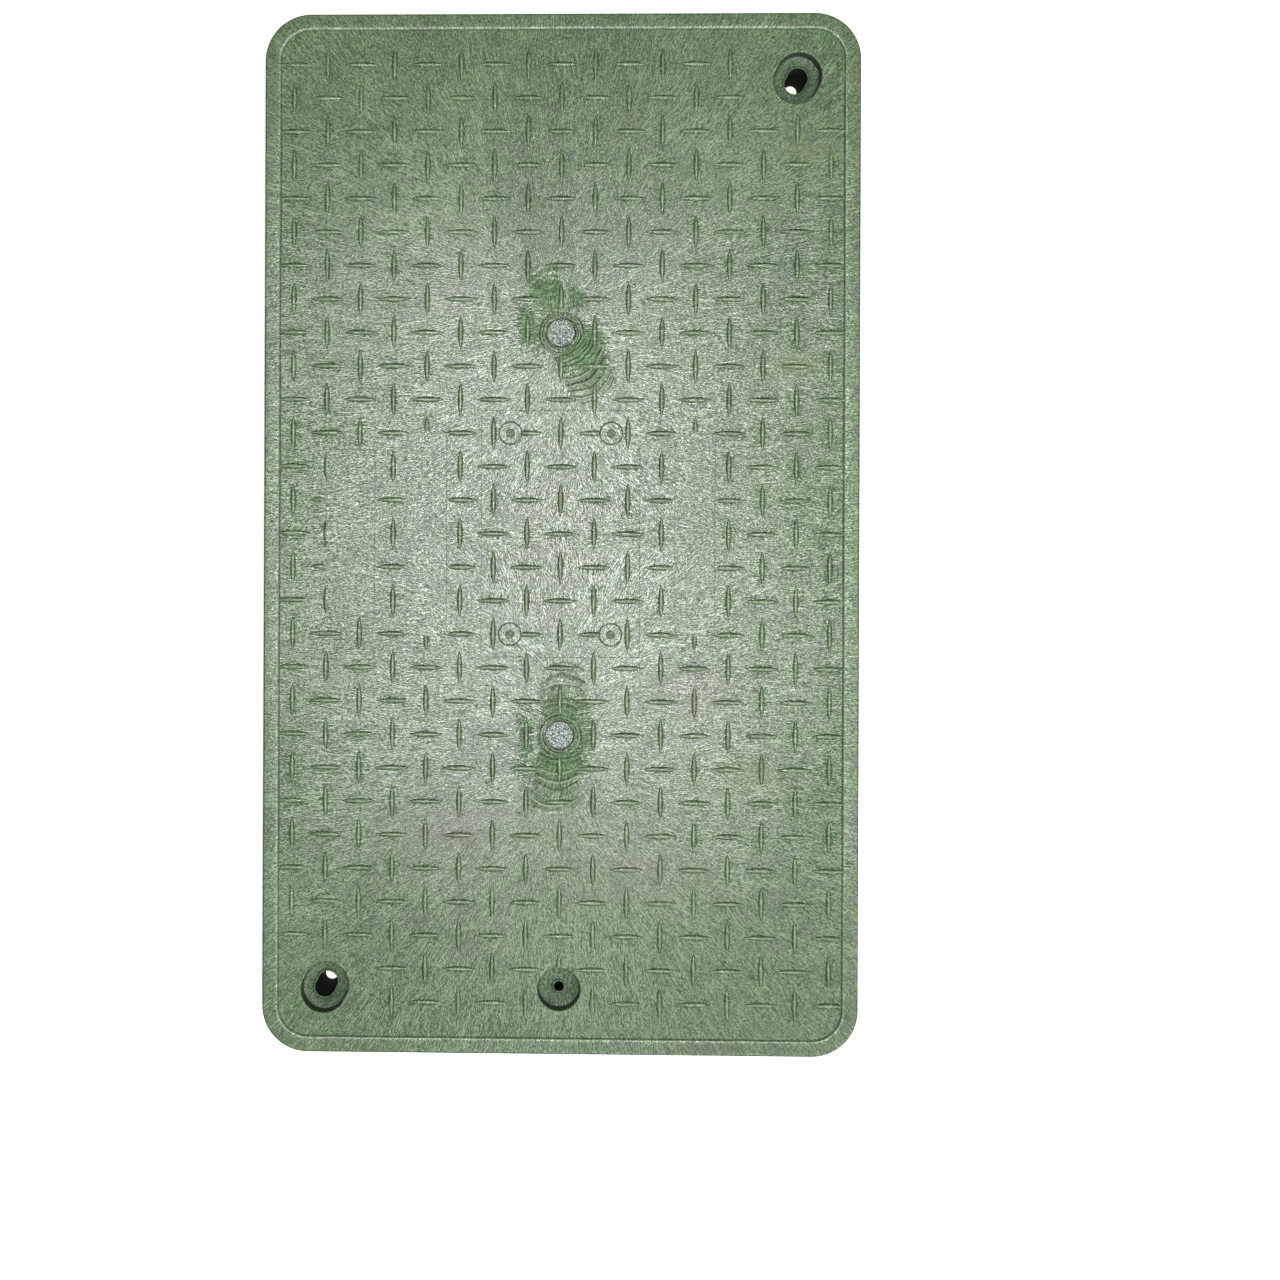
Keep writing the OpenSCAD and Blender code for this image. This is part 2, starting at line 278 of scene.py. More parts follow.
class Shape:
    """The sizes that the top of the cover shares between its pieces, in millimetres."""

    def __init__(self, context):
        scene = context.scene
        self.cover = millimetres(scene.cover_body)
        self.tread = millimetres(scene.cover_tread)
        self.seat = millimetres(scene.cover_seats)
        self.gate = millimetres(scene.cover_gates)
        self.field_z = TOP - self.tread.ridge_h
        self.field_in = self.cover.border_w + self.cover.step_w
        self.holes = holes(context)

    def ridge_places(self):
        """Places (x, y) of all ridges and whether each lies along X.

        Every place of the square raster is taken, apart from those inside a bare pad, a round
        mark or a seat; a ridge lies along X where column plus row is even.
        """
        t = self.tread
        edge = self.cover.border_w + t.edge_clear
        cols = math.floor((HALF_W - edge) / t.pitch)
        rows = math.floor((HALF_L - edge) / t.pitch)
        c, r = np.meshgrid(np.arange(-cols, cols + 1), np.arange(-rows, rows + 1), indexing="ij")
        c, r = c.ravel(), r.ravel()
        x, y = c * t.pitch, r * t.pitch
        keep = np.max(self.depth_in_zones(x, y), axis=0) < t.omit_in
        for hole in self.holes[:2]:
            keep &= np.hypot(x - hole.x, y - hole.y) > t.bolt_clear
        return x[keep], y[keep], ((c + r) % 2 == 0)[keep]

    def zones(self):
        """Bare zones as (kind, x, y, half width or radius, half length)."""
        t, g = self.tread, self.gate
        pick = self.holes[2]
        made = [("box", -t.wide_pad_x, 0, t.wide_pad_w / 2, t.wide_pad_l / 2)]
        made += [("box", s * t.narrow_pad_x, 0, t.narrow_pad_w / 2, t.narrow_pad_l / 2)
                 for s in (-1, 1)]
        made += [("round", 0, s * g.gate_y, g.dish_r, 0) for s in (-1, 1)]
        made += [("round", sx * g.mark_x, sy * g.mark_y, g.mark_d / 2, 0)
                 for sx in (-1, 1) for sy in (-1, 1)]
        made.append(("round", pick.x, pick.y, pick.seat_r + self.seat.edge_r, 0))
        return made

    def depth_in_zones(self, x, y):
        """How deep each point lies inside each bare zone; below zero outside it."""
        depths = []
        for kind, zx, zy, a, b in self.zones():
            if kind == "box":
                depths.append(np.minimum(a - np.abs(x - zx), b - np.abs(y - zy)))
            else:
                depths.append(a - np.hypot(x - zx, y - zy))
        return np.array(depths)

    def out_of_zones(self, x, y, z, floor):
        """Points inside a bare zone go to its edge and down to floor; close ones go to its edge.

        A ridge that runs into a pad is so cut off upright at the pad's edge.
        """
        near = 0.9
        for kind, zx, zy, a, b in self.zones():
            dx, dy = x - zx, y - zy
            if kind == "round":
                r = np.maximum(np.hypot(dx, dy), 1e-6)
                move = a - r
                touched = move > -near
                x = np.where(touched, zx + dx * a / r, x)
                y = np.where(touched, zy + dy * a / r, y)
            else:
                px, py = a - np.abs(dx), b - np.abs(dy)
                move = np.minimum(px, py)
                touched = (px > -near) & (py > -near)
                by_x = touched & (px <= py)
                by_y = touched & (px > py)
                x = np.where(by_x, zx + np.sign(dx) * a, x)
                y = np.where(by_y, zy + np.sign(dy) * b, y)
            z = np.where(touched & (move > 0), floor, z)
        return x, y, z


# Folds of plastic that the jets from the gates laid down, one row each: side of the gate (+1 is
# the far one), direction in degrees, first and last distance from the gate, half width, bend
# radius of the folds, distance between folds 40 mm out, share of the fold height.
FOLDS = (
    (+1, -53, 12, 60, 20, 26, 4.8, 1.0),
    (+1, -18, 17, 40, 12, 17, 4.0, 0.5),
    (+1, 112, 18, 58, 15, 20, 5.4, 0.45),
    (+1, 60, 20, 42, 8, 12, 4.6, 0.3),
    (-1, 90, 14, 62, 17, 22, 6.2, 0.9),
    (-1, -90, 13, 64, 20, 24, 6.0, 0.9),
)
# Smooth patches of dense green without folds: side of the gate, place across and along from it,
# half width, half length.
DENSE = (
    (+1, -26, 5, 10, 21), (+1, 10, 30, 5, 10), (+1, -12, 34, 13, 9), (+1, 22, -18, 12, 18),
    (-1, -27, -2, 7, 34), (-1, 19, 2, 6, 24), (-1, 2, 15, 15, 9), (-1, 1, -26, 17, 18),
)
# Smudges of another hue: place in the cover, half width, half length, +1 yellow green, -1 brown.
SMUDGES = (
    (188, 290, 30, 12, 1), (181, 128, 26, 9, 1), (139, -185, 34, 16, 1), (-60, 330, 40, 22, 0.6),
    (105, -117, 34, 30, -1), (-83, -223, 44, 24, -1), (60, -253, 50, 26, -0.9),
    (-90, 185, 40, 30, -0.7), (60, 215, 50, 22, -0.7), (-150, -40, 26, 60, -0.5),
    (0, 0, 100, 200, -0.7), (160, 60, 40, 60, 0.45), (-190, 60, 30, 60, 0.3),
)


def wobble(x, y, size):
    """Soft random looking field between -1 and 1: sines whose phases bend one another."""
    u, v = x / size, y / size
    a = np.sin(2.1 * u + 1.7 * np.sin(1.3 * v + 0.4))
    b = np.sin(1.9 * v + 1.5 * np.sin(1.7 * u + 2.1))
    c = np.sin(3.3 * (u + v) + 2.2 * np.sin(0.9 * u - 1.1 * v))
    return (a + b + 0.7 * a * c) / 2.7


def blobs(x, y, rows):
    """Sum of soft spots exp(-q^2) at places in rows of x, y, half width, half length, weight."""
    total = np.zeros_like(x)
    for px, py, half_w, half_l, weight in rows:
        q = ((x - px) / half_w) ** 2 + ((y - py) / half_l) ** 2
        total = total + weight * np.exp(-q * (1 + 0.5 * wobble(x, y, 9)))
    return total


def folds_at(x, y, gate_y):
    """Height (about -1 to 1) and cover (0 to 1) of the folds at points of the tread.

    In a jet's own frame, a along and b across, fold number s = a + b^2 / 2R, so each fold is an
    arc bulging away from the gate. A wave of s with a steep far side is its rounded front; the
    strength of each fold differs, and fine ripples run between them.
    """
    height = np.zeros_like(x)
    cover = np.zeros_like(x)
    for side, degrees, first, last, half_w, bend, gap, share in FOLDS:
        turn = math.radians(degrees)
        dx, dy = x, y - side * gate_y
        a = dx * math.cos(turn) + dy * math.sin(turn)
        b = dy * math.cos(turn) - dx * math.sin(turn) + 0.1 * (a - first)
        s = a + b * b / (2 * bend) + 1.1 * wobble(x, y, 9) + 0.14 * wobble(x, y, 3.1)
        grown = np.log(0.45 + np.maximum(s, 2) * 0.55 / 40) * 40 / 0.55
        count = (grown + 1.2 * np.sin(grown / 6.5 + degrees)) / gap
        phase = 2 * np.pi * count
        power = 0.85 + 0.3 * np.sin(1.9 * np.floor(count) + degrees)
        wave = power * np.sin(phase + 0.8 * np.sin(phase))
        swell = 0.8 + 0.25 * np.sin(np.pi * np.clip((a - first) / (last - first), 0, 0.8))
        edge = np.abs(b) / swell + 2.0 * wobble(x, y, 12)
        inside = smooth(first - 3, first + 1, a) * (1 - smooth(last - 12, last, a))
        inside = inside * (1 - smooth(half_w - 4, half_w, edge))
        lip = np.exp(-((edge - half_w + 1) / 1.1) ** 2)
        lip = lip * smooth(first, first + 4, a) * (1 - smooth(last - 18, last - 6, a))
        height = height + share * (wave * inside + 0.45 * lip)
        cover = np.maximum(cover, inside * (0.6 + 0.4 * share))
    return height, cover


def field_relief(shape, x, y):
    """Height of the tread plate over its mean level: slack of the moulding."""
    calm = np.ones_like(x)
    for hole in shape.holes:
        reach = distance_to_long_hole(x, y, hole) - hole.seat_r
        calm = calm * smooth(1.5, 8, reach)
    return 0.05 * wobble(x, y, 47) * calm


def richness(shape, x, y):
    """How much plain green skin shows: in the folds, beside the gates and beside ridges.

    A sum of the folds' cover, the soft spots of DENSE, a ring 17 mm from each gate less a wide
    one at 72 mm, the far corners, and a patchy band 1.5 to 9 mm from each ridge's middle line.
    """
    gate_y = shape.gate.gate_y
    _, cover = folds_at(x, y, gate_y)
    spots = [(px, py + side * gate_y, w, l, 0.7 if side < 0 else 0.95) for side, px, py, w, l in DENSE]
    rich = 0.34 * cover + blobs(x, y, spots)
    for s in (-1, 1):
        r = np.hypot(x * 1.15, y - s * gate_y)
        rich = rich + 0.3 * np.exp(-((r - 17) / 9) ** 2)
        rich = rich - 0.35 * np.exp(-((r - 72) / 30) ** 2)
    far = np.hypot(x / 225, np.maximum(np.abs(y) - 120, 0) / 270)
    rich = rich + 0.3 * smooth(0.45, 1.1, far) * (1 + 0.7 * wobble(x, y, 60))
    p = shape.tread.pitch
    u, v = x / p, y / p
    cu, cv = np.round(u), np.round(v)
    du, dv = (u - cu) * p, (v - cv) * p
    flat = np.mod(cu + cv, 2) == 0
    along = np.where(flat, du, dv)
    across = np.where(flat, dv, du)
    half = shape.tread.ridge_l / 2
    away = np.hypot(np.maximum(np.abs(along) - half * 0.75, 0), across)
    mottle = 0.5 + 0.5 * wobble(x + 3 * y / p, y - x / p, 19)
    bare = np.max(shape.depth_in_zones(x, y), axis=0) > -3
    return rich + np.where(bare, 0, 0.4 * mottle * (1 - smooth(1.5, 9, away)))


def hue(x, y):
    """Strength of the smudges: above zero yellow green, below zero brown."""
    return blobs(x, y, SMUDGES) * (0.75 + 0.25 * wobble(x, y, 6))


def spaced(reach, step):
    """Rising coordinates from -reach to reach, about one step apart."""
    return np.linspace(-reach, reach, round(2 * reach / step) + 1)


def round_path(radius, corner_steps, side_steps):
    """Arc centres and outward directions round the cover's outline.

    A point at distance d inside the outline is centre + direction * (radius - d): on a corner
    the direction turns about a fixed centre, on a side the centre slides and it stays.
    """
    centres, directions = [], []
    signs = ((1, 1), (-1, 1), (-1, -1), (1, -1))
    core = [np.array([sx * (HALF_W - radius), sy * (HALF_L - radius)]) for sx, sy in signs]
    for k in range(4):
        turn = np.radians(90 * k + np.linspace(0, 90, corner_steps + 1))
        way = np.stack([np.cos(turn), np.sin(turn)], -1)
        centres.append(np.repeat(core[k][None, :], len(way), 0))
        directions.append(way)
        t = np.linspace(0, 1, side_steps + 1)[1:-1, None]
        centres.append(core[k] * (1 - t) + core[(k + 1) % 4] * t)
        directions.append(np.repeat(way[-1:], side_steps - 1, 0))
    return np.concatenate(centres), np.concatenate(directions)


class COVER_OT_border(bpy.types.Operator):
    """Make the outer wall, the rounded edge, the flat border and the step to the tread"""

    bl_idname = "cover.border"
    bl_label = "Border and outer wall"

    def execute(self, context):
        """Carry the wall's section round the outline.

        A row of the section is inward distance, height, and its painted light: a painted
        highlight above zero, painted shade below.
        """
        shape = Shape(context)
        c = shape.cover
        h, f, e = TOP - HIDE / 2, shape.field_z, c.edge_r
        inner, end = c.border_w, shape.field_in
        turn = np.radians(np.linspace(0, 90, 9))
        # Painted shade on the upper part of the rounded edge and a faint painted highlight at its top;
        # the inner rows paint a highlight on the step down to the tread and shade at its foot.
        rounding_light = [0, 0, 0, 0, 0, -0.8, -0.5, 0.1, 0.1]
        section = np.concatenate([
            [[c.wall_t, 0.0, 0], [0.7, 0.0, 0], [0.2, 0.2, 0], [0.0, 0.7, 0], [0.0, 16.0, 0],
             [0.0, 32.0, 0]],
            np.stack([e - e * np.cos(turn), h - e + e * np.sin(turn), rounding_light], -1),
            [[inner * 0.45, h, 0], [inner - 1.7, h, 0], [inner - 0.9, h - 0.07, 0],
             [inner - 0.25, h - 0.24, 0.45], [inner + 0.25, h - 0.52, 0.3],
             [inner + 0.65, h - 0.95, -0.2], [end - 0.1, f + 0.12, -0.8],
             [end + 0.1, f + 0.01, -0.9], [end + 0.5, f - 0.02, -0.2], [end + 1.2, f - 0.6, 0]]])
        centres, ways = round_path(c.corner_r, 20, 60)
        reach = (c.corner_r - section[:, 0])[None, :, None]
        flat = centres[:, None, :] + ways[:, None, :] * reach
        z = np.broadcast_to(section[None, :, 1:2], flat.shape[:2] + (1,))
        points = np.concatenate([flat, z], -1)
        faces = grid_quads(1, len(centres), len(section), wrap_rows=True)
        # The painted highlight and shade vary at random along the outline.
        patchy_edge_light = 0.65 + 0.35 * wobble(flat[:, :, 0], flat[:, :, 1], 7)
        calm = np.where(points[:, :, 2] < h - 0.6 * e, 2.0, 0.15)
        mesh_object("border_and_wall", points.reshape(-1, 3), faces[:, ::-1],
                    plastic(context), calm.ravel(), (section[:, 2] * patchy_edge_light).ravel(), sharp=50)
        return {"FINISHED"}


class COVER_OT_plate(bpy.types.Operator):
    """Make the plate between the ridges, left open for the patches round the gates"""

    bl_idname = "cover.plate"
    bl_label = "Tread plate"

    def execute(self, context):
        """Height z = level + relief(x, y) on a raster, left open where the gate patches lie.

        Raster points near the edge of a seat or patch are moved onto it, and what is inside is
        left out.
        """
        shape = Shape(context)
        run = 0.9
        x_end = HALF_W - shape.field_in + run
        y_end = HALF_L - shape.field_in + run
        coarse = 2.5
        xs, ys = spaced(x_end, coarse), spaced(y_end, coarse)
        x, y = np.meshgrid(xs, ys, indexing="ij")
        inside = np.zeros(x.shape, bool)
        gates = [SimpleNamespace(x=0, y=s * shape.gate.gate_y, turn=0, half_gap=0,
                                 seat_r=shape.gate.patch_r - shape.seat.edge_r) for s in (-1, 1)]
        for hole in shape.holes + gates:
            away = distance_to_long_hole(x, y, hole)
            edge_r = hole.seat_r + shape.seat.edge_r
            for _ in range(3):
                gx, gy = np.gradient(distance_to_long_hole(x, y, hole))
                step_x, step_y = np.gradient(x)[0], np.gradient(y)[1]
                way_x, way_y = gx / step_x, gy / step_y
                size = np.maximum(np.hypot(way_x, way_y), 1e-6)
                now = distance_to_long_hole(x, y, hole)
                move = np.where(np.abs(away - edge_r) < 0.62 * coarse, edge_r - now, 0)
                x = x + move * way_x / size
                y = y + move * way_y / size
            inside |= away < edge_r - 0.62 * coarse
        corner = shape.cover.corner_r
        cx = np.maximum(np.abs(x) - (HALF_W - corner), 0)
        cy = np.maximum(np.abs(y) - (HALF_L - corner), 0)
        inside |= np.hypot(cx, cy) > corner - shape.field_in + 4
        z = shape.field_z + field_relief(shape, x, y)
        points = np.stack([x, y, z], -1).reshape(-1, 3)
        faces = grid_quads(1, len(xs), len(ys))
        faces = faces[~inside.ravel()[faces].any(1)]
        rich = richness(shape, x, y).ravel()
        mesh_object("tread_plate", points, faces, plastic(context), rich)
        return {"FINISHED"}


class COVER_OT_ridges(bpy.types.Operator):
    """Make the raised ridges of the tread"""

    bl_idname = "cover.ridges"
    bl_label = "Tread ridges"

    def execute(self, context):
        """Each ridge: half width w(t) = W (1 - |t|^2.3), crest h(t) = H (1 - |t|^3.4)."""
        shape = Shape(context)
        t = np.array([-1, -0.93, -0.78, -0.5, -0.2, 0.2, 0.5, 0.78, 0.93, 1])
        s = np.array([-1.1, -0.92, -0.5, 0, 0.5, 0.92, 1.1])
        level = np.array([-0.25, 0.14, 0.76, 1.0, 0.76, 0.14, -0.25])
        half_l, half_w = shape.tread.ridge_l / 2, shape.tread.ridge_w / 2
        width = half_w * (1 - np.abs(t) ** 2.3)
        crest = (shape.tread.ridge_h - HIDE) * (1 - np.abs(t) ** 3.4)
        along = np.broadcast_to((t * (half_l + 0.2))[:, None], (len(t), len(s)))
        across = width[:, None] * s[None, :]
        height = np.where(level[None, :] > 0, crest[:, None] * level[None, :],
                          shape.tread.ridge_h * level[None, :])
        height = np.where(np.abs(t)[:, None] == 1, -0.3, height)
        x0, y0, flat = shape.ridge_places()
        x0, y0, flat = (v[:, None, None] for v in (x0, y0, flat))
        x = x0 + np.where(flat, along, -across)
        y = y0 + np.where(flat, across, along)
        z = np.broadcast_to(height, x.shape)
        x, y, z = shape.out_of_zones(x, y, z, -0.6)
        points = np.stack([x, y, z + shape.field_z], -1).reshape(-1, 3)
        faces = grid_quads(x.shape[0], len(t), len(s))
        rich = np.broadcast_to(0.3 + 0.2 * wobble(x0, y0, 31), x.shape).ravel()
        # Painted light across each ridge: painted shade at both feet, a painted highlight on the
        # crest, and one flank shaded more than the other as the lamps fall; turned over for ridges
        # along X.
        painted_light = np.array([-0.6, -0.35, 0.0, 0.25, 0.0, -0.2, -0.4])
        painted_light_turned = np.where(flat, painted_light[::-1], painted_light)
        edge = np.broadcast_to(painted_light_turned, x.shape).ravel()
        mesh_object("tread_ridges", points, faces, plastic(context), rich, edge, sharp=80)
        return {"FINISHED"}


class COVER_OT_seats(bpy.types.Operator):
    """Make the sunk seats of the two bolt slots and of the pick hole"""

    bl_idname = "cover.seats"
    bl_label = "Bolt and pick seats"

    def execute(self, context):
        """Carry a section round each hole."""
        shape = Shape(context)
        for hole in shape.holes:
            self.seat(context, shape, hole)
        return {"FINISHED"}

    def seat(self, context, shape, hole):
        """One seat: rounded edge, upright wall, dished floor, lip, and the hole's own wall.

        A row of the section is distance from the hole's middle line, height, and its painted
        light: a faint painted highlight on the top edge, painted shade down the wall, floor and hole.
        """
        e, f, d = shape.seat.edge_r, shape.field_z, TOP - shape.seat.seat_depth
        r, b = hole.seat_r, hole.hole_r
        draft = shape.seat.draft if hole.half_gap else 0.1
        section = np.array([
            [r + e + 1.4, f - 0.5, 0], [r + e, f, 0], [r + 0.66 * e, f - 0.08 * e, 0.2],
            [r + 0.3 * e, f - 0.3 * e, 0], [r + 0.08 * e, f - 0.64 * e, -0.5],
            [r, f - e, -0.8], [r - 0.1, f - 0.5 * (f - d), -0.9], [r - 0.2, d + 1.2, -0.95],
            [r - 0.4, d + 0.4, -1.05], [r - 0.8, d + 0.06, -0.8], [r - 2.5, d, -0.5],
            [0.45 * r + 0.55 * (b + 2.2), d - 0.35, -0.4], [b + 2.2, d - 0.45, -0.6],
            [b + 1.5, d - 0.3, -0.8], [b + 1.25, d + 0.35, -0.4], [b + 0.85, d + 0.66, -0.1],
            [b + 0.4, d + 0.62, -0.3], [b + 0.08, d + 0.3, -0.8], [b, d - 0.3, -1],
            [b, d - 3, -1], [b - 0.1, d - 4, -1], [b - draft, hole.bottom + 0.1, -1],
            [b + 0.05, hole.bottom, -1]])
        steps = 28
        half = np.pi / 2
        turn = np.concatenate([np.linspace(-half, half, steps),
                               np.linspace(half, 3 * half, steps)])
        sign = np.repeat([1, -1], steps)[:, None]
        if hole.half_gap == 0:
            twice = [steps, 2 * steps - 1]
            turn, sign = np.delete(turn, twice), np.delete(sign, twice, 0)
        along = sign * hole.half_gap + np.cos(turn)[:, None] * section[:, 0]
        across = np.sin(turn)[:, None] * section[:, 0]
        c, s = math.cos(hole.turn), math.sin(hole.turn)
        x = hole.x + along * c - across * s
        y = hole.y + along * s + across * c
        z = np.broadcast_to(section[:, 1], x.shape)
        points = np.stack([x, y, z], -1).reshape(-1, 3)
        faces = grid_quads(1, len(turn), len(section), wrap_rows=True)
        shade = np.broadcast_to(section[:, 2], x.shape).ravel()
        piece = mesh_object(hole.name, points, faces[:, ::-1], plastic(context), 0.85, shade,
                            sharp=60)
        # The hole's own wall gets a near black paint: painted shade, since little light reaches down
        # it.
        piece.data.materials.append(plain(
            "painted_shade_hole_wall", "1B1E1A", 0.95))
        wall = np.tile(section[:-1, 0] < b + 0.3, len(turn))
        piece.data.polygons.foreach_set("material_index", wall.astype(np.int32))


class COVER_OT_gates(bpy.types.Operator):
    """Make the patches round the two gates, and the fine raised marks of the insert"""

    bl_idname = "cover.gates"
    bl_label = "Gates and insert marks"

    def execute(self, context):
        """Gates are height fields on rings about their middle; marks are carried sections."""
        shape = Shape(context)
        self.gate(context, shape, "gate_far", 1)
        self.gate(context, shape, "gate_near", -1)
        self.lines(context, shape)
        return {"FINISHED"}

    def gate(self, context, shape, name, side):
        """z = foam speckle inside the disc, a groove, leaning rings round it, then the folds."""
        g = shape.gate
        disc_r, dish_r, out_r = g.disc_d / 2, g.dish_r, g.patch_r
        turn = np.linspace(0, 2 * np.pi, 384, endpoint=False)[:, None]
        disc = np.linspace(0.05, disc_r - 0.4, 20)
        rest = np.concatenate([
            [disc_r, disc_r + 0.3], np.linspace(disc_r + 0.6, dish_r + 3, 26),
            np.linspace(dish_r + 3.5, out_r, 88), [out_r + 1.2]])
        r = np.concatenate([disc, rest])[None, :]
        x, y = r * np.cos(turn), r * np.sin(turn)
        foam = 0.16 * wobble(x, y, 0.55) + 0.1 * wobble(y + 9, x, 0.36) - 0.15
        gap, lean = (2.3, 0.25) if side > 0 else (3.1, 0.2)
        off = r * (1 + 0.05 * np.cos(turn - np.radians(125))) + 0.3 * wobble(x, y, 6)
        phase = 2 * np.pi * (off - disc_r) / gap
        ring = np.sin(phase + 0.7 * np.sin(phase)) + 0.3 * np.sin(1.7 * phase + 2 * turn)
        strong = 1 - lean + lean * np.sin(turn * 2 + 1.2 + 0.3 * wobble(x, y, 7))
        rings = 0.42 * ring * strong
        dish = smooth(disc_r, dish_r, r)
        level = -0.5 * (1 - dish) - 0.55 * np.exp(-((r - disc_r - 0.5) / 0.5) ** 2)
        near = 1 - smooth(dish_r + 0.2, dish_r + 2.6, r + 1.2 * wobble(x, y, 10))
        height, _ = folds_at(x, y + side * g.gate_y, g.gate_y)
        outer = 1 - smooth(out_r - 8, out_r - 2, r)
        fold = g.fold_h * height * smooth(disc_r + 1.5, dish_r + 1, r) * outer
        crest = 1.25 * ring * strong * near + height * smooth(disc_r + 1.5, dish_r + 1, r) * outer
        # Painted light on the rings and folds: a painted highlight on their crests, painted shade in
        # their troughs and in the groove round the disc.
        edge = 0.6 * smooth(0.45, 0.95, crest) - 1.3 * smooth(0.5, 0.95, -crest)
        edge = edge - np.exp(-((r - disc_r - 0.6) / 0.5) ** 2)
        z = np.where(r < disc_r - 0.1, foam, level + rings * near + fold)
        z = z + field_relief(shape, x, y + side * g.gate_y)
        z = np.where(r > out_r, -0.5, z)
        points = np.stack([x, y + side * g.gate_y, z + shape.field_z], -1).reshape(-1, 3)
        faces = grid_quads(1, len(turn), r.shape[1], wrap_rows=True)[:, ::-1]
        rich = richness(shape, points[:, 0], points[:, 1])
        piece = mesh_object(name, points, faces, plastic(context), rich, edge.ravel())
        piece.data.materials.append(gate_foam())
        ring_of_face = np.tile(np.arange(r.shape[1] - 1), len(turn))
        inner = (ring_of_face < len(disc)).astype(np.int32)
        piece.data.polygons.foreach_set("material_index", inner)

    def lines(self, context, shape):
        """Half round beads along circles and rectangles, and a small dome inside each circle."""
        g, t, f = shape.gate, shape.tread, shape.field_z
        bead = np.array([[-0.42, -0.2], [-0.27, 0.08], [-0.1, 0.24], [0.1, 0.24], [0.27, 0.08],
                         [0.42, -0.2]])
        dome = np.array([[0.05, 0.4], [1.4, 0.37], [2.4, 0.3], [3.0, 0.18], [3.3, 0.0],
                         [3.6, -0.3]])
        turn = np.linspace(0, 2 * np.pi, 64, endpoint=False)
        centre = np.array([(sx * g.mark_x, sy * g.mark_y) for sx in (-1, 1) for sy in (-1, 1)])
        # The third entry is painted light across each section: for the bead, painted shade on its
        # inner side and a painted highlight on its outer side; for the dome, painted shade round its
        # foot.
        for name, rings, painted_light in (
                ("insert_marks", bead * 2 + [g.mark_d / 2 - 0.7, 0], [-1, -1.1, -1, -0.2, 0.6, 0.4]),
                ("insert_buttons", dome, [0.1, 0.0, -0.1, -0.7, -1.1, -1])):
            x = centre[:, 0, None, None] + np.cos(turn)[None, :, None] * rings[:, 0]
            y = centre[:, 1, None, None] + np.sin(turn)[None, :, None] * rings[:, 0]
            z = np.broadcast_to(rings[:, 1] + f, x.shape)
            points = np.stack([x, y, z], -1).reshape(-1, 3)
            faces = grid_quads(len(x), len(turn), len(rings), wrap_rows=True)
            mesh_object(name, points, faces[:, ::-1], plastic(context), 0.9,
                        np.broadcast_to(painted_light, x.shape).ravel())
        plates = [("insert_edge", 0, g.insert_w, g.insert_l),
                  ("wide_pad_edge", -t.wide_pad_x, t.wide_pad_w, t.wide_pad_l),
                  ("left_pad_edge", -t.narrow_pad_x, t.narrow_pad_w, t.narrow_pad_l),
                  ("right_pad_edge", t.narrow_pad_x, t.narrow_pad_w, t.narrow_pad_l)]
        for name, middle, width, length_ in plates:
            half = np.array([width / 2, length_ / 2])
            self.rectangle(context, name, middle, half, bead * 0.85, f)

    def rectangle(self, context, name, middle, half, bead, level):
        """A bead round a rectangle, whose height fades in and out as such a joint line does.

        The painted highlight and shade are strongest on the side at low x, where the inserts met with
        a step.
        """
        corners = np.array([(1, 1), (-1, 1), (-1, -1), (1, -1)])
        t = np.linspace(0, 1, 90, endpoint=False)[:, None]
        way = np.concatenate([corners[k] * (1 - t) + corners[(k + 1) % 4] * t for k in range(4)])
        reach = half + bead[:, None, :1]
        flat = np.swapaxes(way[None, :, :] * reach, 0, 1) + np.array([middle, 0])
        fade = 0.75 + 0.25 * wobble(flat[:, :, 0], flat[:, :, 1], 15)
        step = 0.55 + 1.05 * (flat[:, :, 0] < middle - half[0] + 0.5)
        z = bead[:, 1] * fade + level
        points = np.concatenate([flat, z[:, :, None]], -1).reshape(-1, 3)
        faces = grid_quads(1, len(way), len(bead), wrap_rows=True)
        # Painted shade on the bead's inner side, a painted highlight on its top and outer side.
        painted_light = np.array([-0.6, -0.5, 0.3, 0.5, 0.3, 0.0]) * fade * step
        mesh_object(name, points, faces[:, ::-1], plastic(context), 0.4, painted_light.ravel())


